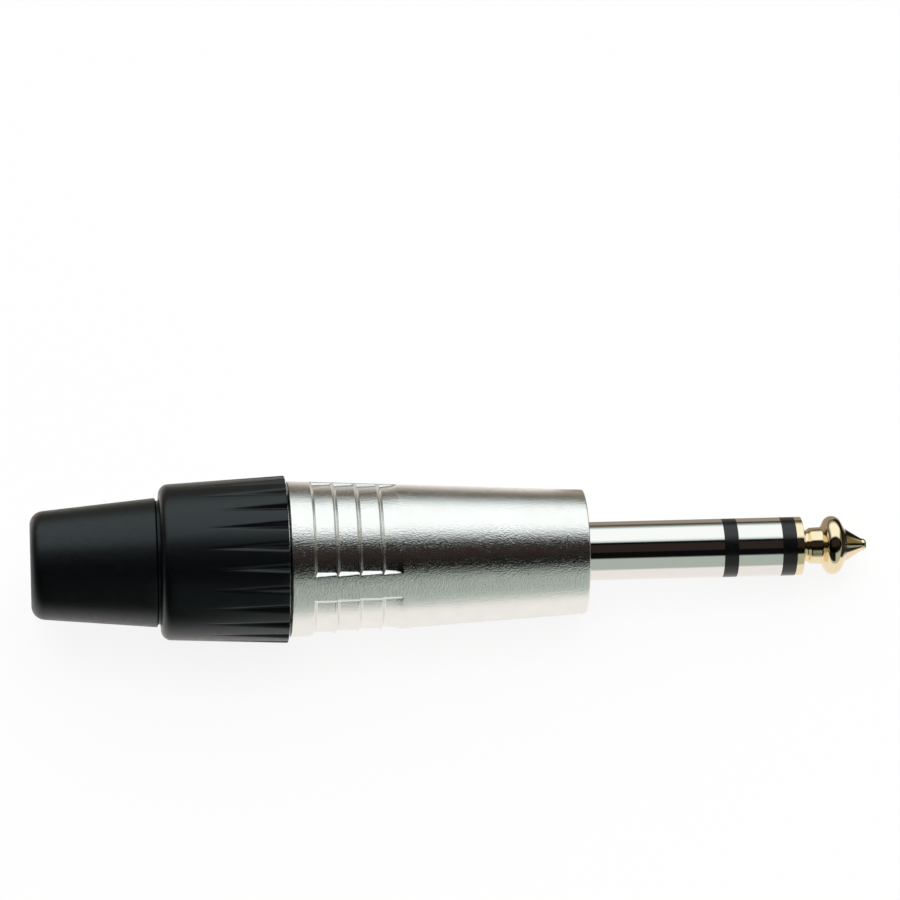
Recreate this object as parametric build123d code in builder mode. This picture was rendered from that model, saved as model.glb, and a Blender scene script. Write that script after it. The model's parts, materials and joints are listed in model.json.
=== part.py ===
from build123d import *

import os
from math import atan, cos, hypot, radians, sin, sqrt, tan

# A three-pole 6.35 mm jack plug with a chuck that clamps the cable. Millimetres.
# It lies along X. The origin is the centre of the shell's front face, where a socket's nose stops.
# +X runs to the tip and +Z is up. Outlines of turned pieces are (x, radius) points.

# Finger: the round part that enters the socket
finger_d = 6.35
sleeve_length = 15.0
band_length = 1.55
ring_length = 4.8
tip_length = 8.0

# Tip: collar, neck, ball, point
collar_length = 0.8
collar_fall = 0.35
neck_groove_d = 3.4
neck_groove_length = 0.3
neck_rise = 0.35
neck_root_d = 3.8
neck_end_d = 4.0
ball_from_end = 3.75
ball_crest_r = 0.75
ball_rear_slope = 60.0
ball_front_slope = 52.0
point_root_d = 3.7
nose_d = 1.3
nose_length = 0.5
nose_edge = 0.25

# Nested tubes that carry the contacts back through the sleeve
sleeve_bore_d = 5.1
tube_wall = 0.4
fit_gap = 0.05

# Sleeve: its root in the shell's front wall, flange with two flats, and the stub behind it
root_d = 6.9
flange_flats = 9.4
flange_t = 2.0
stub_d = 6.4
lip_proud = 0.3
lip_length = 0.5

# Soldering lugs, the washers between them, and what rivets them on
lug_t = 0.5
lug_tail_w = 2.6
lug_bend_r = 0.6
lug_end_cut = 0.8
solder_hole_d = 1.4
solder_hole_in = 1.8
tail_gap = 0.2
ground_plate_d = 7.9
ground_tail_length = 14.0
ground_tail_turn = 180.0
ring_plate_d = 7.2
ring_tail_length = 11.0
ring_tail_turn = 60.0
tip_plate_d = 5.2
tip_tail_r = 2.7
tip_tail_length = 10.0
tip_tail_turn = -60.0
ring_washer_t = 1.2
tip_washer_t = 1.7
flare_proud = 0.55
flare_length = 0.4
tube_setback = 0.5
rivet_d = 3.8
rivet_length = 0.6
rivet_edge = 0.2

# Shell: the die-cast handle
shell_length = 32.0
shell_front_d = 13.4
shell_rear_d = 16.8
shell_edge_break = 0.3
front_wall = 3.0
front_hole_gap = 0.075
pocket_depth = 1.8
shell_bore_d = 11.6
slide_gap = 0.1
spigot_length = 8.0
spigot_d = 13.8
spigot_edge = 0.4

# Grips: saw-tooth steps cut in three zones round the shell
step_count = 4
step_pitch = 2.43
step_depth = 0.38
step_wall_lean = 0.2
step_end_depth = 0.24
step_run_out = 0.3
step_length = 2.35
first_step_in = 2.4
zone_count = 3
zone_angle = 97.0
zone_turn = 77.5
zone_wall_slope = 50.0

# Liner and chuck
liner_wall = 0.8
chuck_in_spigot = 5.0
chuck_past_spigot = 3.0
chuck_ring_length = 1.8
slot_count = 6
slot_w = 0.8

# Clamp nut
nut_length = 13.55
nut_gap = 0.25
nut_front_d = 18.0
nut_rear_d = 16.66
nut_round = 1.1
thread_height = 0.3
thread_gap = 0.1
cone_rear_d = 10.8
cone_half_angle = 31.0
cone_length = 2.0
cone_gap = 0.15
boot_groove_w = 1.4
rib_count = 24
rib_groove_w = 1.0
rib_groove_depth = 0.5
rib_groove_length = 8.2

# Boot
boot_length = 13.8
boot_front_d = 13.9
boot_rear_d = 11.4
boot_round = 1.5
boot_flange_proud = 0.55
boot_waist_depth = 0.3
boot_shoulder_gap = 0.35
boot_shoulder_edge = 0.2
boot_gap = 0.1
cable_hole_length = 5.6
cable_hole_edge = 0.3

# The thickest cable, and the room round it
cable_d = 7.0
chuck_cable_gap = 0.1
boot_cable_gap = 0.2

# Places along the axis, from the tip to the rear
ring_rear = sleeve_length + band_length
ring_front = ring_rear + ring_length
tip_rear = ring_front + band_length
tip_end = tip_rear + tip_length
flange_front = -front_wall
flange_rear = flange_front - flange_t
pocket_rear = flange_front - pocket_depth
lip_front = flange_rear - lug_t
lip_rear = lip_front - lip_length
ring_plate_front = lip_rear - ring_washer_t
ring_plate_rear = ring_plate_front - lug_t
flare_rear = ring_plate_rear - flare_length
tip_plate_front = ring_plate_rear - tip_washer_t
tip_plate_rear = tip_plate_front - lug_t
rivet_rear = tip_plate_rear - rivet_length
shell_rear = -shell_length
spigot_rear = shell_rear - spigot_length
chuck_front = spigot_rear + chuck_in_spigot
chuck_rear = spigot_rear - chuck_past_spigot
nut_front = shell_rear - nut_gap
nut_rear = nut_front - nut_length
cone_front = chuck_rear + cone_length
boot_groove_rear = chuck_rear - boot_groove_w
boot_rear = nut_rear - boot_length
boot_shoulder = nut_rear - boot_shoulder_gap

# Radii that follow from the sizes above
finger_r = finger_d / 2
sleeve_bore_r = sleeve_bore_d / 2
rear_tube_r = sleeve_bore_r - fit_gap
rear_tube_bore_r = rear_tube_r - tube_wall
ring_tube_r = rear_tube_bore_r - fit_gap
ring_tube_bore_r = ring_tube_r - tube_wall
front_tube_r = ring_tube_bore_r - fit_gap
front_tube_bore_r = front_tube_r - tube_wall
rod_r = front_tube_bore_r - fit_gap
stub_r = stub_d / 2
flare_r = ring_tube_r + flare_proud
shell_bore_r = shell_bore_d / 2
insert_r = shell_bore_r - slide_gap
liner_bore_r = insert_r - liner_wall
outer_tail_r = sqrt((liner_bore_r - tail_gap) ** 2 - (lug_tail_w / 2) ** 2) - lug_t
washer_r = outer_tail_r - tail_gap
spigot_r = spigot_d / 2
nut_bore_r = spigot_r + thread_height + thread_gap
cone_rear_r = cone_rear_d / 2
cone_slope = tan(radians(cone_half_angle))
chuck_end_r = cone_rear_r - cone_gap / cos(radians(cone_half_angle))
chuck_bore_r = cable_d / 2 + chuck_cable_gap
boot_front_r = boot_front_d / 2
boot_flange_r = boot_front_r + boot_flange_proud
boot_waist_r = boot_front_r - boot_waist_depth
boot_bore_r = cable_d / 2 + boot_cable_gap


def taper(x, x_a, d_a, x_b, d_b):
    """Radius at x of a straight taper from diameter d_a at x_a to diameter d_b at x_b."""
    return (d_a + (d_b - d_a) * (x - x_a) / (x_b - x_a)) / 2


def shell_radius(x):
    return taper(x, 0, shell_front_d, shell_rear, shell_rear_d)


def nut_radius(x):
    return taper(x, nut_front, nut_front_d, nut_rear, nut_rear_d)


def outline(*points):
    """A closed outline of (x, radius) points in the plane through the axis."""
    with BuildSketch(Plane.XZ) as section:
        with BuildLine():
            Polyline(*points, close=True)
        make_face()
    return section.sketch


def ring_outline(x_front, x_rear, outer, inner):
    return outline((x_front, inner), (x_front, outer), (x_rear, outer), (x_rear, inner))


def double_d(x, radius, flats):
    """A round outline with two flats, square to the axis at x."""
    with BuildSketch(Plane.YZ.offset(x)) as section:
        Circle(radius)
        Rectangle(2 * radius, flats, mode=Mode.INTERSECT)
    return section.sketch


def rim(part, end, size):
    """The circular edge of a part at its rear (0) or front (-1) end, by rank of size."""
    circles = part.edges().filter_by(GeomType.CIRCLE)
    return circles.group_by(Axis.X)[end].sort_by(SortBy.RADIUS)[size]


def solder_lug(plate_front, plate_d, hole_r, tail_r, tail_length, turn):
    """A ring plate square to the axis, with one tail bent to the rear, turned about the axis."""
    tail_rear = plate_front - tail_length
    with BuildPart() as lug:
        with BuildSketch(Plane.YZ.offset(plate_front - lug_t)):
            Circle(plate_d / 2)
            with Locations((0, tail_r / 2)):
                Rectangle(lug_tail_w, tail_r)
            Circle(hole_r, mode=Mode.SUBTRACT)
        extrude(amount=lug_t)
        with BuildSketch(Plane.XZ):
            with Locations((tail_rear, tail_r)):
                Rectangle(tail_length, lug_t, align=(Align.MIN, Align.MIN))
        extrude(amount=lug_tail_w / 2, both=True)
        fillet(lug.edges().filter_by(Axis.Y).group_by(Axis.X)[-1].sort_by(Axis.Z)[-1], lug_bend_r)
        with BuildSketch(Plane.XY.offset(tail_r)):
            with Locations((tail_rear + solder_hole_in, 0)):
                Circle(solder_hole_d / 2)
        extrude(amount=lug_t, mode=Mode.SUBTRACT)
        chamfer(lug.edges().filter_by(Axis.Z).group_by(Axis.X)[0], lug_end_cut)
    return lug.part.rotate(Axis.X, turn)


# Tip contact: collar, neck, ball and point, with the rod that is riveted over its lug
ball_x = tip_end - ball_from_end
collar_front = tip_rear + collar_length
neck_groove_rear = collar_front + collar_fall
neck_groove_front = neck_groove_rear + neck_groove_length
crest_arc = ball_front_slope + ball_rear_slope


def ball_flank(slope, foot_r):
    """How far from the ball's crest its straight flank reaches down to foot_r."""
    lean = radians(slope)
    flank_top_r = finger_r - ball_crest_r * (1 - cos(lean))
    return ball_crest_r * sin(lean) + (flank_top_r - foot_r) / tan(lean)


with BuildPart() as tip_contact:
    with BuildSketch(Plane.XZ):
        with BuildLine():
            crest_centre = (ball_x, finger_r - ball_crest_r)
            crest = CenterArc(crest_centre, ball_crest_r, 90 - ball_front_slope, crest_arc)
            Polyline(
                crest @ 0,
                (ball_x + ball_flank(ball_front_slope, point_root_d / 2), point_root_d / 2),
                (tip_end - nose_length, nose_d / 2),
                (tip_end, nose_d / 2),
                (tip_end, 0),
                (rivet_rear, 0),
                (rivet_rear, rivet_d / 2),
                (tip_plate_rear, rivet_d / 2),
                (tip_plate_rear, rod_r),
                (tip_rear, rod_r),
                (tip_rear, finger_r),
                (collar_front, finger_r),
                (neck_groove_rear, neck_groove_d / 2),
                (neck_groove_front, neck_groove_d / 2),
                (neck_groove_front + neck_rise, neck_root_d / 2),
                (ball_x - ball_flank(ball_rear_slope, neck_end_d / 2), neck_end_d / 2),
                crest @ 1,
            )
        make_face()
    revolve(axis=Axis.X)
    chamfer(rim(tip_contact, -1, -1), nose_edge)
    chamfer(rim(tip_contact, 0, -1), rivet_edge)

# Front insulator: the band behind the tip, and the tube that keeps the rod off the ring's tube
front_tube_rear = flare_rear - tube_setback
with BuildPart() as front_insulator:
    revolve(ring_outline(tip_rear, ring_front, finger_r, front_tube_bore_r), axis=Axis.X)
    revolve(ring_outline(ring_front, front_tube_rear, front_tube_r, front_tube_bore_r), axis=Axis.X)

# Ring contact: the ring and its tube, flared over its lug
with BuildPart() as ring_contact:
    revolve(ring_outline(ring_front, ring_rear, finger_r, ring_tube_bore_r), axis=Axis.X)
    revolve(ring_outline(ring_rear, flare_rear, ring_tube_r, ring_tube_bore_r), axis=Axis.X)
    revolve(ring_outline(ring_plate_rear, flare_rear, flare_r, ring_tube_bore_r), axis=Axis.X)

# Rear insulator: the band behind the ring, and its tube
with BuildPart() as rear_insulator:
    revolve(ring_outline(ring_rear, sleeve_length, finger_r, rear_tube_bore_r), axis=Axis.X)
    revolve(ring_outline(sleeve_length, lip_rear, rear_tube_r, rear_tube_bore_r), axis=Axis.X)

# Sleeve contact: the barrel, a flange with two flats, and a stub swaged over the ground lug
with BuildPart() as sleeve_contact:
    extrude(double_d(flange_rear, insert_r, flange_flats), amount=flange_t)
    revolve(ring_outline(sleeve_length, 0, finger_r, 0), axis=Axis.X)
    revolve(ring_outline(0, flange_front, root_d / 2, 0), axis=Axis.X)
    revolve(ring_outline(flange_rear, lip_rear, stub_r, 0), axis=Axis.X)
    revolve(ring_outline(lip_front, lip_rear, stub_r + lip_proud, 0), axis=Axis.X)
    with BuildSketch(Plane.YZ.offset(lip_rear)):
        Circle(sleeve_bore_r)
    extrude(amount=sleeve_length - lip_rear, mode=Mode.SUBTRACT)

# Soldering lugs of the sleeve, the ring and the tip
ground_lug = solder_lug(
    flange_rear, ground_plate_d, stub_r + fit_gap, outer_tail_r, ground_tail_length, ground_tail_turn
)
ring_lug = solder_lug(
    ring_plate_front, ring_plate_d, ring_tube_r + fit_gap, outer_tail_r, ring_tail_length, ring_tail_turn
)
tip_lug = solder_lug(
    tip_plate_front, tip_plate_d, rod_r + fit_gap, tip_tail_r, tip_tail_length, tip_tail_turn
)

# Insulating washers before the ring's lug and before the tip's lug
with BuildPart() as ring_lug_washer:
    revolve(ring_outline(lip_rear, ring_plate_front, washer_r, ring_tube_r + fit_gap), axis=Axis.X)

with BuildPart() as tip_lug_washer:
    revolve(ring_outline(ring_plate_rear, tip_plate_front, washer_r, front_tube_r + fit_gap), axis=Axis.X)
    with BuildSketch(Plane.YZ.offset(flare_rear - fit_gap)):
        Circle(flare_r + fit_gap)
    extrude(amount=flare_length + fit_gap, mode=Mode.SUBTRACT)

# Grips: steps that are deep at the rear and run out forwards, kept inside the zones
first_step = shell_rear + first_step_in
cutter_r = shell_rear_d / 2 + step_depth
zone_far = 2 * cutter_r / cos(radians(zone_angle / 2))


def zone_corner(zone_r, radius, side):
    """A point on the sloping wall that ends a zone, which meets the shell's surface at zone_r."""
    lean = (radius - zone_r) * tan(radians(zone_wall_slope))
    spread = radians(zone_angle / 2) + atan(lean / radius)
    return (radius * cos(spread), side * radius * sin(spread))


def grip_step(wall_x):
    """What one step takes out of the shell, in every zone."""
    foot_x = wall_x + step_wall_lean
    foot_r = shell_radius(foot_x) - step_depth
    wall_run = step_wall_lean / (shell_radius(wall_x) - foot_r)
    floor_end_x = wall_x + step_length - step_run_out
    floor_end_r = shell_radius(floor_end_x) - step_end_depth
    out_run = step_run_out / (shell_radius(wall_x + step_length) - floor_end_r)
    zone_r = shell_radius(wall_x + step_length / 2)
    inner_r = zone_r - 2 * step_depth
    with BuildPart() as step:
        revolve(
            outline(
                (foot_x - (cutter_r - foot_r) * wall_run, cutter_r),
                (foot_x, foot_r),
                (floor_end_x, floor_end_r),
                (floor_end_x + (cutter_r - floor_end_r) * out_run, cutter_r),
            ),
            axis=Axis.X,
        )
        with BuildSketch(Plane.YZ.offset(wall_x - step_pitch)):
            with PolarLocations(0, zone_count, start_angle=zone_turn):
                Polygon(
                    zone_corner(zone_r, inner_r, -1),
                    zone_corner(zone_r, cutter_r, -1),
                    (zone_far, 0),
                    zone_corner(zone_r, cutter_r, 1),
                    zone_corner(zone_r, inner_r, 1),
                    align=None,
                )
        extrude(amount=3 * step_pitch, mode=Mode.INTERSECT)
    return step.part


# Shell: a tapered casting with a front wall, a pocket for the flange, and a spigot for the nut
with BuildPart() as shell:
    revolve(
        outline(
            (0, root_d / 2 + front_hole_gap),
            (0, shell_front_d / 2),
            (shell_rear, shell_rear_d / 2),
            (shell_rear, spigot_r),
            (spigot_rear, spigot_r),
            (spigot_rear, shell_bore_r),
            (pocket_rear, shell_bore_r),
            (pocket_rear, root_d / 2 + front_hole_gap),
        ),
        axis=Axis.X,
    )
    chamfer(rim(shell, -1, -1), shell_edge_break)
    chamfer(rim(shell, 0, -1), spigot_edge)
    pocket = double_d(pocket_rear, insert_r + fit_gap, flange_flats + 2 * fit_gap)
    extrude(pocket, amount=pocket_depth, mode=Mode.SUBTRACT)
    add([grip_step(first_step + step * step_pitch) for step in range(step_count)], mode=Mode.SUBTRACT)

# Liner: an insulating tube that also passes the chuck's thrust to the flange
with BuildPart() as liner:
    revolve(ring_outline(flange_rear, chuck_front, insert_r, liner_bore_r), axis=Axis.X)

# Chuck: a ring with slotted fingers, whose ends the nut's cone closes on the cable
with BuildPart() as chuck:
    revolve(
        outline(
            (chuck_front, chuck_bore_r),
            (chuck_front, insert_r),
            (chuck_rear + (insert_r - chuck_end_r) / cone_slope, insert_r),
            (chuck_rear, chuck_end_r),
            (chuck_rear, chuck_bore_r),
        ),
        axis=Axis.X,
    )
    with BuildSketch(Plane.YZ.offset(chuck_rear)):
        with PolarLocations(insert_r, slot_count):
            Rectangle(2 * insert_r, slot_w)
    extrude(amount=chuck_front - chuck_rear - chuck_ring_length, mode=Mode.SUBTRACT)

# One groove between two ribs of the nut: a V that runs out towards the rear
groove_root_r = nut_front_d / 2 - rib_groove_depth
groove_top_r = nut_front_d / 2 + rib_groove_depth
groove_rise = nut_radius(nut_front - rib_groove_length) - groove_root_r
with BuildPart() as rib_groove:
    with BuildSketch(Plane.YZ.offset(nut_front)):
        Polygon((0, groove_root_r), (rib_groove_w, groove_top_r), (-rib_groove_w, groove_top_r), align=None)
    extrude(amount=hypot(rib_groove_length, groove_rise), dir=(-rib_groove_length, 0, groove_rise))

# Clamp nut: threaded bore, cone for the chuck, groove for the boot, ribs outside
with BuildPart() as clamp_nut:
    revolve(
        outline(
            (nut_front, nut_bore_r),
            (nut_front, nut_front_d / 2),
            (nut_rear, nut_rear_d / 2),
            (nut_rear, boot_waist_r + boot_gap),
            (boot_groove_rear, boot_waist_r + boot_gap),
            (boot_groove_rear, boot_flange_r + boot_gap),
            (chuck_rear, boot_flange_r + boot_gap),
            (chuck_rear, cone_rear_r),
            (cone_front, cone_rear_r + cone_length * cone_slope),
            (cone_front, nut_bore_r),
        ),
        axis=Axis.X,
    )
    fillet(rim(clamp_nut, 0, -1), nut_round)
    turns = [360 / rib_count * rib for rib in range(rib_count)]
    add([rib_groove.part.rotate(Axis.X, turn) for turn in turns], mode=Mode.SUBTRACT)

# Boot: a soft tapered sleeve, held in the nut by its flange
with BuildPart() as boot:
    revolve(
        outline(
            (chuck_rear - boot_gap, cone_rear_r - boot_gap),
            (chuck_rear - boot_gap, boot_flange_r),
            (boot_groove_rear + boot_gap, boot_flange_r),
            (boot_groove_rear + boot_gap, boot_waist_r),
            (boot_shoulder, boot_waist_r),
            (boot_shoulder, boot_front_r - boot_shoulder_edge),
            (boot_shoulder - boot_shoulder_edge, boot_front_r),
            (boot_rear, boot_rear_d / 2),
            (boot_rear, boot_bore_r),
            (boot_rear + cable_hole_length, boot_bore_r),
        ),
        axis=Axis.X,
    )
    fillet(rim(boot, 0, -1), boot_round)
    chamfer(rim(boot, 0, 0), cable_hole_edge)

pieces = {
    "shell": shell.part,
    "sleeve_contact": sleeve_contact.part,
    "rear_insulator": rear_insulator.part,
    "ring_contact": ring_contact.part,
    "front_insulator": front_insulator.part,
    "tip_contact": tip_contact.part,
    "ground_lug": ground_lug,
    "ring_lug_washer": ring_lug_washer.part,
    "ring_lug": ring_lug,
    "tip_lug_washer": tip_lug_washer.part,
    "tip_lug": tip_lug,
    "liner": liner.part,
    "chuck": chuck.part,
    "clamp_nut": clamp_nut.part,
    "boot": boot.part,
}
os.makedirs("parts", exist_ok=True)
for name, piece in pieces.items():
    piece.label = name
    export_step(piece, f"parts/{name}.step")
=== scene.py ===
import json
from math import atan2, ceil, cos, degrees, hypot, pi, radians, sin, tan

import bpy
from mathutils import Matrix, Vector


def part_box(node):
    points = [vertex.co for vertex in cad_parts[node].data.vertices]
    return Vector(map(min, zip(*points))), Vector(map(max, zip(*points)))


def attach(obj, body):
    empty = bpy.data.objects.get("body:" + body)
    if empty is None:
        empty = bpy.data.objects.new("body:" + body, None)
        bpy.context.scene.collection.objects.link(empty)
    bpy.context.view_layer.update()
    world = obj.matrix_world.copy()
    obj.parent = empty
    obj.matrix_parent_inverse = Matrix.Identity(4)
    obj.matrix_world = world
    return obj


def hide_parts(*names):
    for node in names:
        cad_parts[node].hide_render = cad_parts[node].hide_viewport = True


# Looks of a three-pole jack plug, in metres in the part's own frame: +X to the tip, +Z up.
# The plug's sizes are in millimetres, as in its source, and are turned into metres when a mesh is made.
MM = 0.001

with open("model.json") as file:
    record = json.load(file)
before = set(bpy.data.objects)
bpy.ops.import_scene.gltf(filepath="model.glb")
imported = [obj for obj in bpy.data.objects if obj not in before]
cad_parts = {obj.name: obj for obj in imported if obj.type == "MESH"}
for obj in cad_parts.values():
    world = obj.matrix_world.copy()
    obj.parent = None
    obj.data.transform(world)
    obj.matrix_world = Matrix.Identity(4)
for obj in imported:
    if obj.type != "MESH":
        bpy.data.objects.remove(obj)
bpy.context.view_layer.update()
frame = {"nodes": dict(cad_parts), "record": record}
nodes = frame["nodes"]


def extent(node):
    """A CAD node's rear and front along X and its radius, in millimetres."""
    low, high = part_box(node)
    return [round(value / MM, 3) for value in (low.x, high.x, max(high.y, high.z))]


# Where the photograph was taken from, seen from the floor that the plug lies on
ELEVATION = 65.0
YAW = 3.4
DISTANCE = 500 * MM
FRAME_WIDTH = 97.1 * MM
SENSOR_WIDTH = 36.0
PICTURE_WIDTH = 900
AXIS_BELOW_CENTRE = 105
LOOK_AT_X = -14.5 * MM
CLIP_START = 0.01
CLIP_END = 10

# Columns round a mesh, degrees between an arc's points, and the radius that counts as none
COLUMNS = 192
ARC_STEP = 12
ON_AXIS = 1e-6
# How much more large faces count in the normals, where 50 is neutral
NORMAL_WEIGHT = 60

# A cut leaves alone what lies this close to the spigot or the bore, or this far past the steps
BORE_MARGIN = 0.1
STEPS_MARGIN = 1.0

# Shell
SPIGOT_END, SHELL_FACE, SHELL_REAR_R = extent("shell")
SHELL_LENGTH = 32.0
SHELL_FRONT_R = 6.7
SHELL_HOLE_R = 3.525
SHELL_BORE_R = 5.8
SHELL_WALL = 3.0
SPIGOT_R = 6.9
STEP_COUNT = 4
STEP_FIRST = -29.6
STEP_PITCH = 2.43
STEP_DEPTH = 0.38
STEP_WALL_LEAN = 0.28
STEP_END_DEPTH = 0.24
STEP_RUN_OUT = 0.2
STEP_LENGTH = 2.43
STEP_SOFTNESS = 0.04
# The last step is shorter and runs out more gently
LAST_LENGTH = 2.15
LAST_RUN_OUT = 0.55
LAST_END_DEPTH = 0.2
# The grip zones by angle round the axis, in degrees, with the slope of their ends
ZONE_MIDDLES = (77.5, 197.5, 317.5)
ZONE_HALF = 50
ZONE_SLOPE = tan(radians(50))
# Keeps an end's wall finite outside the zone
ZONE_LEAST_SLOPE = 0.2
# Degrees between columns, all round and at the zones' ends
SHELL_COLUMN = 2.5
ZONE_COLUMN = 0.3

# Boot, whose flange and waist the nut holds
BOOT_REAR, FLANGE_FRONT, FLANGE_R = extent("boot")
FLANGE_REAR = -44.3
FLANGE_HOLE_R = 5.3
BOOT_WAIST_R = 6.65
BOOT_SHOULDER = -46.15
BOOT_FRONT_R = 6.95
BOOT_REAR_R = 5.7
BOOT_HOLE_R = 3.7
BOOT_FUNNEL_END = -54.0

# Clamp nut and the thread under it
NUT_REAR, NUT_FRONT = extent("clamp_nut")[:2]
NUT_FRONT_R = 9.0
NUT_REAR_R = 8.33
NUT_ROUND = 1.1
NUT_BORE_R = 7.3
# Inside it, the cone that closes the chuck and the boot's seat, with a gap all round
CONE_FRONT = -41.0
CONE_FRONT_R = 6.6
CONE_REAR_R = 5.4
SEAT_GAP = 0.1
SEAT_FRONT = FLANGE_FRONT + SEAT_GAP
SEAT_REAR = FLANGE_REAR - SEAT_GAP
SEAT_R = FLANGE_R + SEAT_GAP
SEAT_WAIST_R = BOOT_WAIST_R + SEAT_GAP
# The grooves between the ribs
RIB_COUNT = 24
GROOVE_DEPTH = 0.5
GROOVE_LENGTH = 8.2
GROOVE_ROOT_R = 0.06
GROOVE_SOFTNESS = 0.16
# The thread's ridge, which reaches a little into the spigot
THREAD_FRONT = -32.9
THREAD_REAR = -39.3
THREAD_PITCH = 1.0
THREAD_R = 7.17
THREAD_HALF_ROOT = 0.36
THREAD_HALF_CREST = 0.08
THREAD_SINK = 0.03
# Steps in a turn, and those in which the ridge fades in and out
THREAD_STEPS = 60
THREAD_FADE = 20

# Tip contact, which starts where the insulator before it ends
RIVET_REAR, TIP_END, FINGER_R = extent("tip_contact")
TIP_REAR = extent("front_insulator")[1]
BALL_X = 27.15
BALL_CREST_R = 1.0
BALL_REAR_SLOPE = radians(64)
BALL_FRONT_SLOPE = radians(60)
COLLAR_FRONT = 23.7
TIP_GROOVE_REAR = 24.05
TIP_GROOVE_FRONT = 24.35
TIP_GROOVE_R = 1.7
NECK_REAR = 24.7
NECK_REAR_R = 1.96
NECK_FRONT_R = 2.0
POINT_ROOT_R = 1.85
NOSE_LENGTH = 0.5
NOSE_R = 0.65
ROD_R = 1.15
ROD_REAR = -9.9
RIVET_R = 1.9

# The longest straight run between two rows
NUT_LONGEST = 0.8
BOOT_LONGEST = 1.2
TIP_LONGEST = 1.5


def taper(x, x_a, r_a, x_b, r_b):
    return r_a + (r_b - r_a) * (x - x_a) / (x_b - x_a)


def shell_radius(x):
    return taper(x, SHELL_FACE, SHELL_FRONT_R, -SHELL_LENGTH, SHELL_REAR_R)


def soft_min(a, b, width):
    """The lower of two radii, with the corner between them rounded off."""
    share = max(width - abs(a - b), 0) / width
    return min(a, b) - share * share * width / 4


def soft_max(a, b, width):
    return -soft_min(-a, -b, width)


def round_corner(before, corner, after, radius):
    """The points of an arc that rounds a corner of an outline."""
    to_before, to_after = (before - corner).normalized(), (after - corner).normalized()
    half = to_before.angle(to_after) / 2
    reach = radius / tan(half)
    centre = corner + (to_before + to_after).normalized() * radius / sin(half)
    first, last = corner + to_before * reach - centre, corner + to_after * reach - centre
    turn = last.angle_signed(first)
    steps = max(2, ceil(abs(degrees(turn)) / ARC_STEP))
    return [centre + Matrix.Rotation(turn * step / steps, 2) @ first for step in range(steps + 1)]


def rounded(outline, closed=True):
    """An outline of (x, radius, rounding) corners as a list of (x, radius) points."""
    points = []
    for index, (x, radius, rounding) in enumerate(outline):
        corner = Vector((x, radius))
        at_end = not closed and index in (0, len(outline) - 1)
        if rounding and not at_end:
            before = Vector(outline[index - 1][:2])
            after = Vector(outline[(index + 1) % len(outline)][:2])
            points += [tuple(point) for point in round_corner(before, corner, after, rounding)]
        else:
            points.append((x, radius))
    return points


def divided(points, closed, longest):
    """The same outline with long straight runs divided."""
    result = []
    ends = points[1:] + (points[:1] if closed else [])
    for start, end in zip(points, ends):
        parts = ceil(hypot(end[0] - start[0], end[1] - start[1]) / longest)
        result += [
            (start[0] + (end[0] - start[0]) * part / parts, start[1] + (end[1] - start[1]) * part / parts)
            for part in range(parts)
        ]
    if not closed:
        result.append(points[-1])
    return result


def turned(name, rows, closed, angles=None, cut=None):
    """A mesh turned round X from rows of (x, radius), where cut may lower the radius at an angle."""
    angles = angles or [360 * column / COLUMNS for column in range(COLUMNS)]
    vertices, rings = [], []
    for x, radius in rows:
        if radius < ON_AXIS:
            rings.append([len(vertices)] * len(angles))
            vertices.append((x * MM, 0, 0))
            continue
        rings.append(list(range(len(vertices), len(vertices) + len(angles))))
        for angle in angles:
            reach = cut(x, radius, angle) if cut else radius
            turn = radians(angle)
            vertices.append((x * MM, reach * cos(turn) * MM, reach * sin(turn) * MM))
    faces = []
    pairs = list(zip(rings, rings[1:])) + ([(rings[-1], rings[0])] if closed else [])
    for ring, following in pairs:
        for column in range(len(angles)):
            after = (column + 1) % len(angles)
            corners = (ring[column], ring[after], following[after], following[column])
            faces.append(tuple(dict.fromkeys(corners)))
    return new_piece(name, vertices, faces)


def new_piece(name, vertices, faces):
    mesh = bpy.data.meshes.new(name)
    mesh.from_pydata(vertices, [], faces)
    mesh.validate()
    piece = bpy.data.objects.new(name, mesh)
    bpy.context.scene.collection.objects.link(piece)
    mesh.polygons.foreach_set("use_smooth", [True] * len(mesh.polygons))
    bpy.context.view_layer.objects.active = piece
    with bpy.context.temp_override(active_object=piece, object=piece, selected_objects=[piece]):
        bpy.ops.object.mode_set(mode="EDIT")
        bpy.ops.mesh.select_all(action="SELECT")
        bpy.ops.mesh.normals_make_consistent(inside=False)
        bpy.ops.object.mode_set(mode="OBJECT")
    normals = piece.modifiers.new("normals", "WEIGHTED_NORMAL")
    normals.weight = NORMAL_WEIGHT
    return piece


def step_floor(x):
    """The radius of the grips' floor at x, where a step cuts into the shell."""
    lowest = SHELL_REAR_R + 1
    for step in range(STEP_COUNT):
        wall_x = STEP_FIRST + step * STEP_PITCH
        last = step == STEP_COUNT - 1
        foot_x = wall_x + STEP_WALL_LEAN
        length_end = wall_x + (LAST_LENGTH if last else STEP_LENGTH)
        floor_end = length_end - (LAST_RUN_OUT if last else STEP_RUN_OUT)
        foot_r = shell_radius(foot_x) - STEP_DEPTH
        end_r = shell_radius(floor_end) - (LAST_END_DEPTH if last else STEP_END_DEPTH)
        wall = taper(x, wall_x, shell_radius(wall_x), foot_x, foot_r)
        floor = taper(x, foot_x, foot_r, floor_end, end_r)
        run_out = taper(x, floor_end, end_r, length_end, shell_radius(length_end))
        lowest = min(lowest, soft_max(soft_max(wall, floor, STEP_SOFTNESS), run_out, STEP_SOFTNESS))
    return lowest


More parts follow.
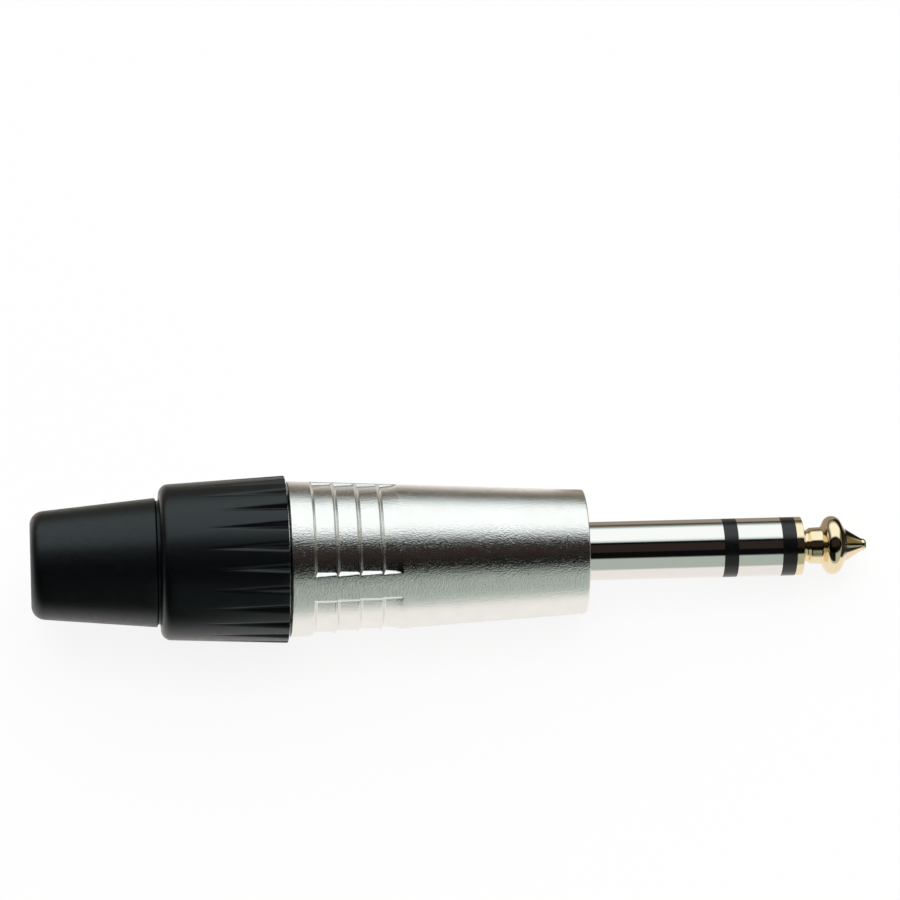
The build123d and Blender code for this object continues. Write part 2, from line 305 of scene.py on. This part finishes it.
def grip_cut(x, radius, angle):
    """The shell's radius where the grips cut it. A zone ends at its sides in a sloping wall."""
    steps_end = STEP_FIRST + STEP_COUNT * STEP_PITCH
    if radius < SPIGOT_R + BORE_MARGIN or not STEP_FIRST - STEPS_MARGIN < x < steps_end + STEPS_MARGIN:
        return radius
    off = min(abs((angle - middle + 180) % 360 - 180) for middle in ZONE_MIDDLES)
    lean = tan(radians(off - ZONE_HALF))
    step = min(max(int((x - STEP_FIRST) / STEP_PITCH), 0), STEP_COUNT - 1)
    zone_r = shell_radius(STEP_FIRST + step * STEP_PITCH + STEP_LENGTH / 2)
    wall = zone_r * ZONE_SLOPE / max(ZONE_SLOPE - lean, ZONE_LEAST_SLOPE)
    return soft_min(radius, soft_max(step_floor(x), wall, STEP_SOFTNESS), STEP_SOFTNESS)


def shell_angles():
    """Evenly spaced columns, and more close together at the ends of the grip zones."""
    angles = {round(SHELL_COLUMN * column, 2) for column in range(round(360 / SHELL_COLUMN))}
    for middle in ZONE_MIDDLES:
        for end in (middle - ZONE_HALF, middle + ZONE_HALF):
            side = 1 if end > middle else -1
            angles |= {round((end - side * ZONE_COLUMN * column) % 360, 2) for column in range(-4, 16)}
    return sorted(angles)


def shell_rows():
    """From the face along the side, close together at the steps, and back through the bore."""
    wall_rows = (-0.04, 0, 0.04, 0.1, 0.16, 0.22, 0.26, 0.3, 0.34, 0.4)
    end_rows = (0.6, 1.0, 1.4, 1.6, 1.8, 2.0, 2.1, 2.16, 2.21, 2.26, 2.31, 2.35)
    side = [-0.6, -1.2, *[-2 - 1.7 * row for row in range(10)]]
    for step in reversed(range(STEP_COUNT)):
        side += [STEP_FIRST + step * STEP_PITCH + row for row in reversed(wall_rows + end_rows)]
    side += [-29.75, -30.0, -30.5, -31.2, -31.7]
    face = [(SHELL_FACE, radius) for radius in (SHELL_HOLE_R, 4.6, 5.6)]
    front_edge = [
        (SHELL_FACE, SHELL_HOLE_R, 0),
        (SHELL_FACE, SHELL_FRONT_R, 0.16),
        (-2, shell_radius(-2), 0),
    ]
    rear_edge = [
        (-31, shell_radius(-31), 0),
        (-SHELL_LENGTH, SHELL_REAR_R, 0.12),
        (-SHELL_LENGTH, SPIGOT_R, 0.1),
        (SPIGOT_END, SPIGOT_R, 0.4),
        (SPIGOT_END, SHELL_BORE_R, 0.15),
        (-SHELL_WALL, SHELL_BORE_R, 0.2),
        (-SHELL_WALL, SHELL_HOLE_R, 0),
    ]
    front = rounded(front_edge, False)[1:-1]
    rear = rounded(rear_edge, False)[1:]
    return [*face, *front, *[(x, shell_radius(x)) for x in side], *rear]


def groove_cut(x, radius, angle):
    """The nut's radius where a V groove cuts it. Grooves run out towards the rear."""
    if radius < NUT_BORE_R + BORE_MARGIN:
        return radius
    pitch = 360 / RIB_COUNT
    off = abs((angle + pitch / 2) % pitch - pitch / 2)
    run_out_r = taper(NUT_FRONT - GROOVE_LENGTH, NUT_FRONT, NUT_FRONT_R, NUT_REAR, NUT_REAR_R)
    root = taper(x, NUT_FRONT, NUT_FRONT_R - GROOVE_DEPTH, NUT_FRONT - GROOVE_LENGTH, run_out_r)
    side = hypot(NUT_FRONT_R * sin(radians(off)), GROOVE_ROOT_R)
    return soft_min(radius, root + side, GROOVE_SOFTNESS)


def nut_angles():
    """Columns close together near the root of each groove."""
    pitch = 360 / RIB_COUNT
    offs = (0, 0.5, 1.1, 1.8, 2.4, 2.9, 3.4, 4.0, 5.0, 6.2)
    angles = {pitch / 2, *offs, *[pitch - off for off in offs if off]}
    return [rib * pitch + angle for rib in range(RIB_COUNT) for angle in sorted(angles)]


def nut_rows():
    """From the bore's front edge over the ribs to the boot's seat and the cone that closes the chuck."""
    outline = [
        (NUT_FRONT, NUT_BORE_R, 0.2),
        (NUT_FRONT, NUT_FRONT_R, 0.12),
        (NUT_REAR, NUT_REAR_R, NUT_ROUND),
        (NUT_REAR, SEAT_WAIST_R, 0.2),
        (SEAT_REAR, SEAT_WAIST_R, 0),
        (SEAT_REAR, SEAT_R, 0),
        (SEAT_FRONT, SEAT_R, 0),
        (SEAT_FRONT, CONE_REAR_R, 0),
        (CONE_FRONT, CONE_FRONT_R, 0),
        (CONE_FRONT, NUT_BORE_R, 0),
    ]
    return divided(rounded(outline), True, NUT_LONGEST)


def boot_rows():
    """From the flange, which the nut holds, over the outside and back through the cable's hole."""
    outline = [
        (FLANGE_FRONT, FLANGE_HOLE_R, 0),
        (FLANGE_FRONT, FLANGE_R, 0.2),
        (FLANGE_REAR, FLANGE_R, 0.1),
        (FLANGE_REAR, BOOT_WAIST_R, 0),
        (BOOT_SHOULDER, BOOT_WAIST_R, 0.1),
        (BOOT_SHOULDER, BOOT_FRONT_R, 0.18),
        (BOOT_REAR, BOOT_REAR_R, 1.5),
        (BOOT_REAR, BOOT_HOLE_R, 0.3),
        (BOOT_FUNNEL_END, BOOT_HOLE_R, 1.0),
    ]
    return divided(rounded(outline), True, BOOT_LONGEST)


def ball_flank(slope, foot_r):
    """How far from the ball's crest its straight flank reaches down to foot_r."""
    flank_top_r = FINGER_R - BALL_CREST_R * (1 - cos(slope))
    return BALL_CREST_R * sin(slope) + (flank_top_r - foot_r) / tan(slope)


def tip_rows():
    """From the nose over the ball, the neck and the collar to the rivet head inside the shell."""
    crest_top = FINGER_R + BALL_CREST_R * (1 / cos((BALL_REAR_SLOPE + BALL_FRONT_SLOPE) / 2) - 1)
    crest_turn = (BALL_FRONT_SLOPE - BALL_REAR_SLOPE) / 2
    crest_x = BALL_X + (crest_top - FINGER_R + BALL_CREST_R) * tan(crest_turn)
    outline = [
        (TIP_END, 0, 0),
        (TIP_END, NOSE_R, 0.4),
        (TIP_END - NOSE_LENGTH, NOSE_R, 0.06),
        (BALL_X + ball_flank(BALL_FRONT_SLOPE, POINT_ROOT_R), POINT_ROOT_R, 0.2),
        (crest_x, crest_top, BALL_CREST_R),
        (BALL_X - ball_flank(BALL_REAR_SLOPE, NECK_FRONT_R), NECK_FRONT_R, 0.25),
        (NECK_REAR, NECK_REAR_R, 0.3),
        (TIP_GROOVE_FRONT, TIP_GROOVE_R, 0.25),
        (TIP_GROOVE_REAR, TIP_GROOVE_R, 0.2),
        (COLLAR_FRONT, FINGER_R, 0.06),
        (TIP_REAR, FINGER_R, 0.04),
        (TIP_REAR, ROD_R, 0),
        (ROD_REAR, ROD_R, 0),
        (ROD_REAR, RIVET_R, 0),
        (RIVET_REAR, RIVET_R, 0.2),
        (RIVET_REAR, 0, 0),
    ]
    return divided(rounded(outline, False), False, TIP_LONGEST)


def make_thread():
    """A helical ridge on the spigot, which fades in and out at its ends."""
    count = round((THREAD_FRONT - THREAD_REAR) / THREAD_PITCH * THREAD_STEPS)
    sides = (-THREAD_HALF_ROOT, -THREAD_HALF_CREST, THREAD_HALF_CREST, THREAD_HALF_ROOT)
    section = list(zip(sides, (0, 1, 1, 0)))
    vertices, faces = [], []
    for step in range(count + 1):
        turn = 2 * pi * step / THREAD_STEPS
        height = (THREAD_R - SPIGOT_R) * min(1, step / THREAD_FADE, (count - step) / THREAD_FADE)
        for side, level in section:
            x = THREAD_REAR + THREAD_PITCH * step / THREAD_STEPS + side
            reach = SPIGOT_R - THREAD_SINK + (height + THREAD_SINK) * level
            vertices.append((x * MM, reach * cos(turn) * MM, reach * sin(turn) * MM))
    width = len(section)
    for step in range(count):
        start = step * width
        for side in range(width):
            after = (side + 1) % width
            faces.append((start + side, start + after, start + width + after, start + width + side))
    faces += [tuple(range(width)), tuple(range(count * width, (count + 1) * width))]
    return new_piece("spigot_thread", vertices, faces)


# Materials

# Stretches a noise into rings round the axis
RINGS = (1, 0.01, 0.01)
SHEEN_TINT = (0.82, 0.95, 1, 1)
# The stretch of a noise's values that a varied look spans
NOISE_LOW = 0.3
NOISE_HIGH = 0.7


def node_input(node, name, value):
    node.inputs[name].default_value = value


def new_material(name, color, metallic, roughness):
    material = bpy.data.materials.new(name)
    material.use_nodes = True
    tree = material.node_tree
    shader = tree.nodes["Principled BSDF"]
    node_input(shader, "Base Color", (*color, 1))
    node_input(shader, "Metallic", metallic)
    node_input(shader, "Roughness", roughness)
    return material, tree, shader


def noise(tree, scale, detail=2.0, stretch=(1, 1, 1)):
    """Noise in the part's own metres, drawn out along an axis where stretch is below 1."""
    place = tree.nodes.new("ShaderNodeTexCoord")
    mapping = tree.nodes.new("ShaderNodeMapping")
    texture = tree.nodes.new("ShaderNodeTexNoise")
    node_input(mapping, "Scale", stretch)
    node_input(texture, "Scale", scale)
    node_input(texture, "Detail", detail)
    tree.links.new(place.outputs["Object"], mapping.inputs["Vector"])
    tree.links.new(mapping.outputs["Vector"], texture.inputs["Vector"])
    return texture.outputs["Fac"]


def opaque(color):
    """A colour with its alpha, where a single level stands for a grey."""
    return (color, color, color, 1) if isinstance(color, float) else (*color, 1)


def ramp(tree, value, stops):
    """A colour ramp of (position, colour) stops."""
    node = tree.nodes.new("ShaderNodeValToRGB")
    elements = node.color_ramp.elements
    for element, (position, color) in zip(elements, (stops[0], stops[-1])):
        element.position, element.color = position, opaque(color)
    for position, color in stops[1:-1]:
        elements.new(position).color = opaque(color)
    tree.links.new(value, node.inputs["Fac"])
    return node.outputs["Color"]


def ramp_between(tree, value, stops):
    """A colour ramp whose stops stand at values of their own, lowest first."""
    lowest, highest = stops[0][0], stops[-1][0]
    across = tree.nodes.new("ShaderNodeMapRange")
    node_input(across, "From Min", lowest)
    node_input(across, "From Max", highest)
    tree.links.new(value, across.inputs["Value"])
    shares = [((at - lowest) / (highest - lowest), color) for at, color in stops]
    return ramp(tree, across.outputs[0], shares)


def set_socket(tree, socket, value):
    """A socket takes a number, or a link from another socket."""
    if isinstance(value, (int, float)):
        socket.default_value = value
    else:
        tree.links.new(value, socket)


def mix_colors(tree, kind, factor, first, second):
    """The two colours stand at sockets 6 and 7 of the node, and the mixed one at 2."""
    node = tree.nodes.new("ShaderNodeMix")
    node.data_type = "RGBA"
    node.blend_type = kind
    for index, value in ((0, factor), (6, first), (7, second)):
        set_socket(tree, node.inputs[index], value)
    return node.outputs[2]


def vary(tree, shader, name, value, low, high):
    """Drives a socket of the shader between two grey levels or colours by a noise."""
    tree.links.new(ramp(tree, value, [(NOISE_LOW, low), (NOISE_HIGH, high)]), shader.inputs[name])


def bump(tree, shader, height, distance, strength=1.0, under=None):
    node = tree.nodes.new("ShaderNodeBump")
    node_input(node, "Distance", distance)
    node_input(node, "Strength", strength)
    tree.links.new(height, node.inputs["Height"])
    if under:
        tree.links.new(under.outputs["Normal"], node.inputs["Normal"])
    tree.links.new(node.outputs["Normal"], shader.inputs["Normal"])
    return node


def satin_nickel():
    """Die-cast and plated: a fine orange-peel grain under a satin finish."""
    material, tree, shader = new_material("satin_nickel", (0.86, 0.855, 0.835), 1.0, 0.2)
    peel = bump(tree, shader, noise(tree, 5500, 2.0), 0.028 * MM, 1.0)
    bump(tree, shader, noise(tree, 11000, 1.0), 0.008 * MM, 1.0, peel)
    vary(tree, shader, "Roughness", noise(tree, 3000, 4.0), 0.15, 0.21)
    vary(tree, shader, "Base Color", noise(tree, 400, 3.0), (0.84, 0.835, 0.815), (0.88, 0.875, 0.855))
    return material


def polished_nickel():
    """Turned, then polished and plated: faint rings round the axis."""
    material, tree, shader = new_material("polished_nickel", (0.82, 0.80, 0.775), 1.0, 0.06)
    bump(tree, shader, noise(tree, 9000, 2.0, RINGS), 0.0006 * MM, 0.5)
    vary(tree, shader, "Roughness", noise(tree, 500, 4.0), 0.04, 0.09)
    return material


def gold():
    """Gold plate over a turned tip, with finer rings than the nickel shows."""
    material, tree, shader = new_material("gold", (0.87, 0.735, 0.51), 1.0, 0.1)
    bump(tree, shader, noise(tree, 7000, 2.0, RINGS), 0.0015 * MM, 0.6)
    vary(tree, shader, "Roughness", noise(tree, 700, 4.0), 0.07, 0.14)
    vary(tree, shader, "Base Color", noise(tree, 500, 3.0), (0.85, 0.715, 0.49), (0.89, 0.755, 0.53))
    return material


def tinned_brass():
    material, tree, shader = new_material("tinned_brass", (0.74, 0.72, 0.68), 1.0, 0.35)
    bump(tree, shader, noise(tree, 1800, 3.0), 0.006 * MM, 0.5)
    vary(tree, shader, "Roughness", noise(tree, 1200), 0.28, 0.45)
    vary(tree, shader, "Base Color", noise(tree, 600, 4.0), (0.70, 0.67, 0.61), (0.78, 0.77, 0.74))
    return material


def black_insulator():
    """Glossy moulded rings, turned flush with the metal on each side."""
    material, tree, shader = new_material("black_insulator", (0.003, 0.003, 0.0035), 0.0, 0.25)
    bump(tree, shader, noise(tree, 8000, 2.0, RINGS), 0.001 * MM, 0.5)
    vary(tree, shader, "Roughness", noise(tree, 1500), 0.18, 0.3)
    return material


def pale_insulator():
    material, tree, shader = new_material("pale_insulator", (0.76, 0.74, 0.68), 0.0, 0.45)
    bump(tree, shader, noise(tree, 1500, 3.0), 0.01 * MM, 0.4)
    vary(tree, shader, "Base Color", noise(tree, 300, 3.0), (0.73, 0.71, 0.64), (0.79, 0.77, 0.71))
    return material


def black_plastic():
    """Moulded nylon with the mould's fine spark-eroded texture."""
    material, tree, shader = new_material("black_plastic", (0.002, 0.002, 0.0025), 0.0, 0.34)
    node_input(shader, "Specular Tint", SHEEN_TINT)
    sag = bump(tree, shader, noise(tree, 450, 1.0), 0.02 * MM, 0.25)
    bump(tree, shader, noise(tree, 6500, 3.0), 0.008 * MM, 0.5, sag)
    vary(tree, shader, "Roughness", noise(tree, 1600, 4.0), 0.3, 0.38)
    return material


def black_rubber():
    """A soft moulded boot, duller than the nut."""
    material, tree, shader = new_material("black_rubber", (0.002, 0.002, 0.0025), 0.0, 0.38)
    node_input(shader, "Specular Tint", SHEEN_TINT)
    sag = bump(tree, shader, noise(tree, 350, 1.0), 0.03 * MM, 0.25)
    bump(tree, shader, noise(tree, 5000, 3.0), 0.006 * MM, 0.5, sag)
    vary(tree, shader, "Roughness", noise(tree, 1300, 4.0), 0.34, 0.43)
    return material


MATERIAL_MAKERS = (
    satin_nickel,
    polished_nickel,
    gold,
    tinned_brass,
    black_insulator,
    pale_insulator,
    black_plastic,
    black_rubber,
)
MATERIALS = {make.__name__: make() for make in MATERIAL_MAKERS}


def dress_nodes():
    """Each CAD node takes the material of its slot in the record."""
    for part in frame["record"]["subparts"]:
        node = nodes[part["node"]]
        node.data.materials.clear()
        node.data.materials.append(MATERIALS[part["material_slot"]])


def dress_piece(piece, slot, body, *replaced):
    piece.data.materials.append(MATERIALS[slot])
    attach(piece, body)
    if replaced:
        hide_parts(*replaced)


def make_pieces():
    shell = turned("shell_casting", shell_rows(), True, shell_angles(), grip_cut)
    dress_piece(shell, "satin_nickel", "shell", "shell")
    dress_piece(make_thread(), "satin_nickel", "shell")
    tip = turned("tip_turned", tip_rows(), False)
    dress_piece(tip, "gold", "shell", "tip_contact")
    nut = turned("nut_ribbed", nut_rows(), True, nut_angles(), groove_cut)
    dress_piece(nut, "black_plastic", "clamp_nut", "clamp_nut")
    boot = turned("boot_moulded", boot_rows(), True)
    dress_piece(boot, "black_rubber", "boot", "boot")


# The floor, the room and the camera

# The plug rests on the rims of the nut and of the shell's front
REST_NUT_R = 8.99
REST_FRONT_X = -0.3
REST_FRONT_R = 6.72
REST_TILT = atan2(REST_NUT_R - REST_FRONT_R, REST_FRONT_X - NUT_FRONT)
FLOOR_AXES = Matrix.Rotation(-REST_TILT, 3, "Y")

WHITE = (1, 1, 1)

# The room that the metal mirrors
ROOM_FRONT = (0.47, 0.53, 0.48)
ROOM_CAMERA = (0.03, 0.021, 0.018)
ROOM_DARK = (0.004, 0.004, 0.004)
ROOM_BEHIND = (1.14, 1.19, 1.19)
ROOM_BEHIND_EDGE = (0.62, 0.74, 0.75)
ROOM_FOOT = (0.25, 0.24, 0.20)
ROOM_RIGHT = (0.19, 0.14, 0.07)

# Its colours by direction round the plug, in degrees: 0 to the front, 90 up, 180 behind
ROOM_ROUND = (
    (-90, ROOM_FRONT),
    (32, ROOM_FRONT),
    (37, ROOM_DARK),
    (58, ROOM_DARK),
    (62, ROOM_CAMERA),
    (88, ROOM_CAMERA),
    (92, ROOM_DARK),
    (97, ROOM_DARK),
    (101, ROOM_BEHIND_EDGE),
    (105, ROOM_BEHIND),
    (160, ROOM_BEHIND),
    (168, ROOM_BEHIND_EDGE),
    (174, ROOM_FOOT),
    (270, ROOM_FOOT),
)

# What is left of them by how far the direction points along the plug: -1 to the boot, 1 to the tip.
# The second row takes over from the first between the two directions under it.
ROOM_ALONG_FRONT = ((0.01, 0.02), (0.09, 1.0), (0.8, 1.0), (0.9, 0.7))
ROOM_ALONG_BEHIND = ((-0.8, 0.1), (-0.55, 1.0), (0.78, 1.0), (0.9, ROOM_RIGHT))
BEHIND_FROM = 48
BEHIND_WHOLLY = 55

# The floor: its half width, the gap under the plug, its colour, and how much of it the camera sees white
FLOOR_REACH = 1.5
FLOOR_GAP = 0.02 * MM
FLOOR_COLOR = (0.92, 0.91, 0.90)
FLOOR_WHITENESS = 0.88

# The floor as the metal mirrors it: a painted reflection, pale near the plug, with a painted bright strip
# under the shell's edge, painted dark in front of the nut and painted shade behind the plug
FLOOR_NEAR = (0.98, 0.95, 0.91)
# Painted highlight: a brighter strip in the mirrored floor under the shell's edge
PAINTED_HIGHLIGHT_UNDER_EDGE = (1.02, 0.99, 0.94)
FLOOR_FAR_FRONT = ROOM_FRONT
# Painted dark reflection in front of the nut
PAINTED_DARK_LEFT_FRONT = (0.04, 0.04, 0.04)
# Painted shade behind the plug, darker further back
PAINTED_SHADE_BEHIND = (0.36, 0.31, 0.25)
PAINTED_SHADE_FAR_BEHIND = (0.12, 0.11, 0.09)

# The painted reflection's colours by the distance behind the plug's axis, in metres, with what is in
# front below 0
IN_FRONT = ((-0.06, FLOOR_FAR_FRONT), (-0.04, FLOOR_FAR_FRONT), (-0.024, FLOOR_NEAR))
IN_FRONT_OF_NUT = ((-0.06, PAINTED_DARK_LEFT_FRONT), (-0.03, PAINTED_DARK_LEFT_FRONT), (-0.014, FLOOR_NEAR))
FAR_BEHIND = ((0.034, PAINTED_SHADE_BEHIND), (0.06, PAINTED_SHADE_FAR_BEHIND))
BEHIND_SHELL = ((0.004, FLOOR_NEAR), (0.01, PAINTED_HIGHLIGHT_UNDER_EDGE), (0.016, PAINTED_HIGHLIGHT_UNDER_EDGE), *FAR_BEHIND)
BEHIND_FINGER = ((0.003, FLOOR_NEAR), (0.007, PAINTED_SHADE_BEHIND), *FAR_BEHIND)

# By the place along X: the nut's and the finger's share of the floor, and what is left of it past the
# tip, where painted shade darkens the mirrored floor
NUT_SHARE = ((-0.044, 1.0), (-0.036, 0.0))
FINGER_SHARE = ((-0.002, 0.0), (0.001, 1.0))
PAINTED_SHADE_PAST_TIP = ((0.0325, 1.0), (0.035, 0.03))
PAST_TIP_SLANT = 1.2

LAMP_POWER = 17.0
LAMP_SIZE = 1.2
LAMP_HEIGHT = 1.5


def light_path(tree, name):
    return tree.nodes.new("ShaderNodeLightPath").outputs[name]


def math_node(tree, operation, *values):
    node = tree.nodes.new("ShaderNodeMath")
    node.operation = operation
    for socket, value in zip(node.inputs, values):
        set_socket(tree, socket, value)
    return node.outputs[0]


def color_shader(tree, kind, color):
    """A shader of one colour, or of one that another node gives."""
    node = tree.nodes.new(kind)
    if isinstance(color, tuple):
        node_input(node, "Color", opaque(color))
    else:
        tree.links.new(color, node.inputs["Color"])
    return node.outputs[0]


def mix_shaders(tree, factor, first, second):
    node = tree.nodes.new("ShaderNodeMixShader")
    for socket, value in zip(node.inputs, (factor, first, second)):
        tree.links.new(value, socket)
    return node.outputs[0]


def painted_floor_reflection(tree):
    """Painted reflection: the colours that the floor shows only to the metal's mirroring rays. Painted
    shade darkens it past the tip, along a slanting line.
    """
    place = tree.nodes.new("ShaderNodeTexCoord")
    axes = tree.nodes.new("ShaderNodeSeparateXYZ")
    tree.links.new(place.outputs["Object"], axes.inputs[0])
    x, y = axes.outputs["X"], axes.outputs["Y"]
    under_shell = ramp_between(tree, y, [*IN_FRONT, *BEHIND_SHELL])
    under_nut = ramp_between(tree, y, [*IN_FRONT_OF_NUT, *BEHIND_SHELL])
    under_finger = ramp_between(tree, y, [*IN_FRONT, *BEHIND_FINGER])
    under_handle = mix_colors(tree, "MIX", ramp_between(tree, x, NUT_SHARE), under_shell, under_nut)
    along = mix_colors(tree, "MIX", ramp_between(tree, x, FINGER_SHARE), under_handle, under_finger)
    slant = math_node(tree, "MULTIPLY", math_node(tree, "MINIMUM", y, 0), PAST_TIP_SLANT)
    painted_tip_shade = ramp_between(tree, math_node(tree, "ADD", x, slant), PAINTED_SHADE_PAST_TIP)
    return mix_colors(tree, "MULTIPLY", 1, along, painted_tip_shade)


def floor_material():
    """Nearly white to the camera, with a faint shadow. To mirroring rays it glows with a painted
    reflection in other colours.
    """
    material = bpy.data.materials.new("floor")
    material.use_nodes = True
    tree = material.node_tree
    tree.nodes.clear()
    out = tree.nodes.new("ShaderNodeOutputMaterial")
    diffuse = color_shader(tree, "ShaderNodeBsdfDiffuse", FLOOR_COLOR)
    white = color_shader(tree, "ShaderNodeEmission", WHITE)
    # The floor glows with a painted reflection, seen only by mirroring rays
    mirrored = color_shader(tree, "ShaderNodeEmission", painted_floor_reflection(tree))
    whiteness = math_node(tree, "MULTIPLY", light_path(tree, "Is Camera Ray"), FLOOR_WHITENESS)
    seen = mix_shaders(tree, whiteness, diffuse, white)
    surface = mix_shaders(tree, light_path(tree, "Is Glossy Ray"), seen, mirrored)
    tree.links.new(surface, out.inputs["Surface"])
    return material


def make_floor():
    """A pale floor just under the plug, tilted as the plug's rest asks."""
    height = FLOOR_AXES @ Vector((0, 0, 1))
    foot = Vector((NUT_FRONT * MM, 0, -REST_NUT_R * MM)) - height * FLOOR_GAP
    corners = [(-1, -1), (1, -1), (1, 1), (-1, 1)]
    places = [foot + FLOOR_AXES @ Vector((x * FLOOR_REACH, y * FLOOR_REACH, 0)) for x, y in corners]
    mesh = bpy.data.meshes.new("floor")
    mesh.from_pydata(places, [], [(0, 1, 2, 3)])
    floor = bpy.data.objects.new("floor", mesh)
    bpy.context.scene.collection.objects.link(floor)
    mesh.materials.append(floor_material())


def around(angle):
    """A direction's share of the whole turn from straight down, by the front, to straight down again."""
    return (angle + 90) / 360


def room_light(tree):
    """The room's colour in each direction, level with the floor."""
    place = tree.nodes.new("ShaderNodeTexCoord")
    level = tree.nodes.new("ShaderNodeMapping")
    axes = tree.nodes.new("ShaderNodeSeparateXYZ")
    level.vector_type = "POINT"
    node_input(level, "Rotation", (0, REST_TILT, 0))
    tree.links.new(place.outputs["Generated"], level.inputs["Vector"])
    tree.links.new(level.outputs["Vector"], axes.inputs[0])
    front = math_node(tree, "MULTIPLY", axes.outputs["Y"], -1)
    down = math_node(tree, "MULTIPLY", axes.outputs["Z"], -1)
    angle = math_node(tree, "ARCTAN2", front, down)
    share = math_node(tree, "DIVIDE", math_node(tree, "WRAP", angle, 2 * pi, 0), 2 * pi)
    round_plug = ramp(tree, share, [(around(at), color) for at, color in ROOM_ROUND])
    over_front = ramp_between(tree, axes.outputs["X"], ROOM_ALONG_FRONT)
    over_behind = ramp_between(tree, axes.outputs["X"], ROOM_ALONG_BEHIND)
    behind = ramp(tree, share, [(around(BEHIND_FROM), 0.0), (around(BEHIND_WHOLLY), 1.0)])
    along = mix_colors(tree, "MIX", behind, over_front, over_behind)
    return mix_colors(tree, "MULTIPLY", 1, round_plug, along)


def make_room():
    """White to the camera, and to all else a pale room with dark stretches above and at its ends."""
    world = bpy.data.worlds.new("room")
    bpy.context.scene.world = world
    world.use_nodes = True
    tree = world.node_tree
    tree.nodes.clear()
    out = tree.nodes.new("ShaderNodeOutputWorld")
    room = color_shader(tree, "ShaderNodeBackground", room_light(tree))
    white = color_shader(tree, "ShaderNodeBackground", WHITE)
    seen = mix_shaders(tree, light_path(tree, "Is Camera Ray"), room, white)
    tree.links.new(seen, out.inputs["Surface"])


def make_lamp():
    """A wide soft lamp above, which lights what is matt and isn't mirrored in the metal."""
    data = bpy.data.lights.new("lamp", "AREA")
    data.shape = "SQUARE"
    data.size = LAMP_SIZE
    data.energy = LAMP_POWER
    lamp = bpy.data.objects.new("lamp", data)
    bpy.context.scene.collection.objects.link(lamp)
    lamp.matrix_world = FLOOR_AXES.to_4x4() @ Matrix.Translation((LOOK_AT_X, 0, LAMP_HEIGHT))
    lamp.visible_glossy = False
    lamp.visible_camera = False


def make_camera():
    """Above the front, looking down at the plug, which lies below the picture's centre."""
    data = bpy.data.cameras.new("camera")
    camera = bpy.data.objects.new("camera", data)
    bpy.context.scene.collection.objects.link(camera)
    bpy.context.scene.camera = camera
    data.sensor_width = SENSOR_WIDTH
    data.lens = SENSOR_WIDTH * DISTANCE / FRAME_WIDTH
    data.clip_start, data.clip_end = CLIP_START, CLIP_END
    elevation, yaw = radians(ELEVATION), radians(YAW)
    back = FLOOR_AXES @ Vector((-sin(yaw) * cos(elevation), -cos(yaw) * cos(elevation), sin(elevation)))
    up = FLOOR_AXES @ Vector((sin(yaw) * sin(elevation), cos(yaw) * sin(elevation), cos(elevation)))
    target = Vector((LOOK_AT_X, 0, 0)) + up * AXIS_BELOW_CENTRE * FRAME_WIDTH / PICTURE_WIDTH
    turn = Matrix((up.cross(back), up, back)).transposed()
    camera.matrix_world = Matrix.Translation(target + back * DISTANCE) @ turn.to_4x4()


dress_nodes()
make_pieces()
make_floor()
make_room()
make_lamp()
make_camera()
bpy.context.scene.view_settings.view_transform = "Standard"
